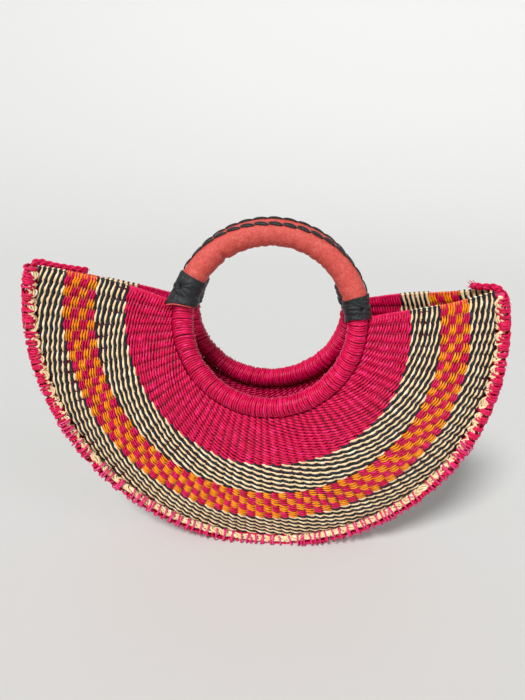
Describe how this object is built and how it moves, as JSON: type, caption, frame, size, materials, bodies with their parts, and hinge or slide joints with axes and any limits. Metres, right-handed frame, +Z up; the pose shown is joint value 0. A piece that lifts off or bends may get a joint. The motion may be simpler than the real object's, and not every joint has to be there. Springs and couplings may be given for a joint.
{
  "type": "woven grass handbag",
  "caption": "Half-moon handbag woven from dyed grass, open along its straight top, with round hoop handles gripped in laced leather and a braided rim it stands on.",
  "frame": {"origin": "under the middle of the bag, on the surface it stands on", "axes": "+Z up, +X along the bag's width to the right of someone facing its front, +Y from the front wall to the back wall"},
  "size_m": [0.4306, 0.0894, 0.3178],
  "materials": {
    "grass": "satin",
    "rim_grass": "matte",
    "red_leather": "satin",
    "black_leather": "satin"
  },
  "bodies": {
    "root": {"front_wall": "grass", "back_wall": "grass", "rim_braid": "rim_grass", "rim_tail_left": "grass", "rim_tail_right": "grass", "front_hoop": "grass", "back_hoop": "grass", "front_grip": "red_leather", "back_grip": "red_leather", "front_lacing": "black_leather", "back_lacing": "black_leather", "front_collar_left": "black_leather", "front_collar_right": "black_leather", "back_collar_left": "black_leather", "back_collar_right": "black_leather"}
  },
  "joints": []
}
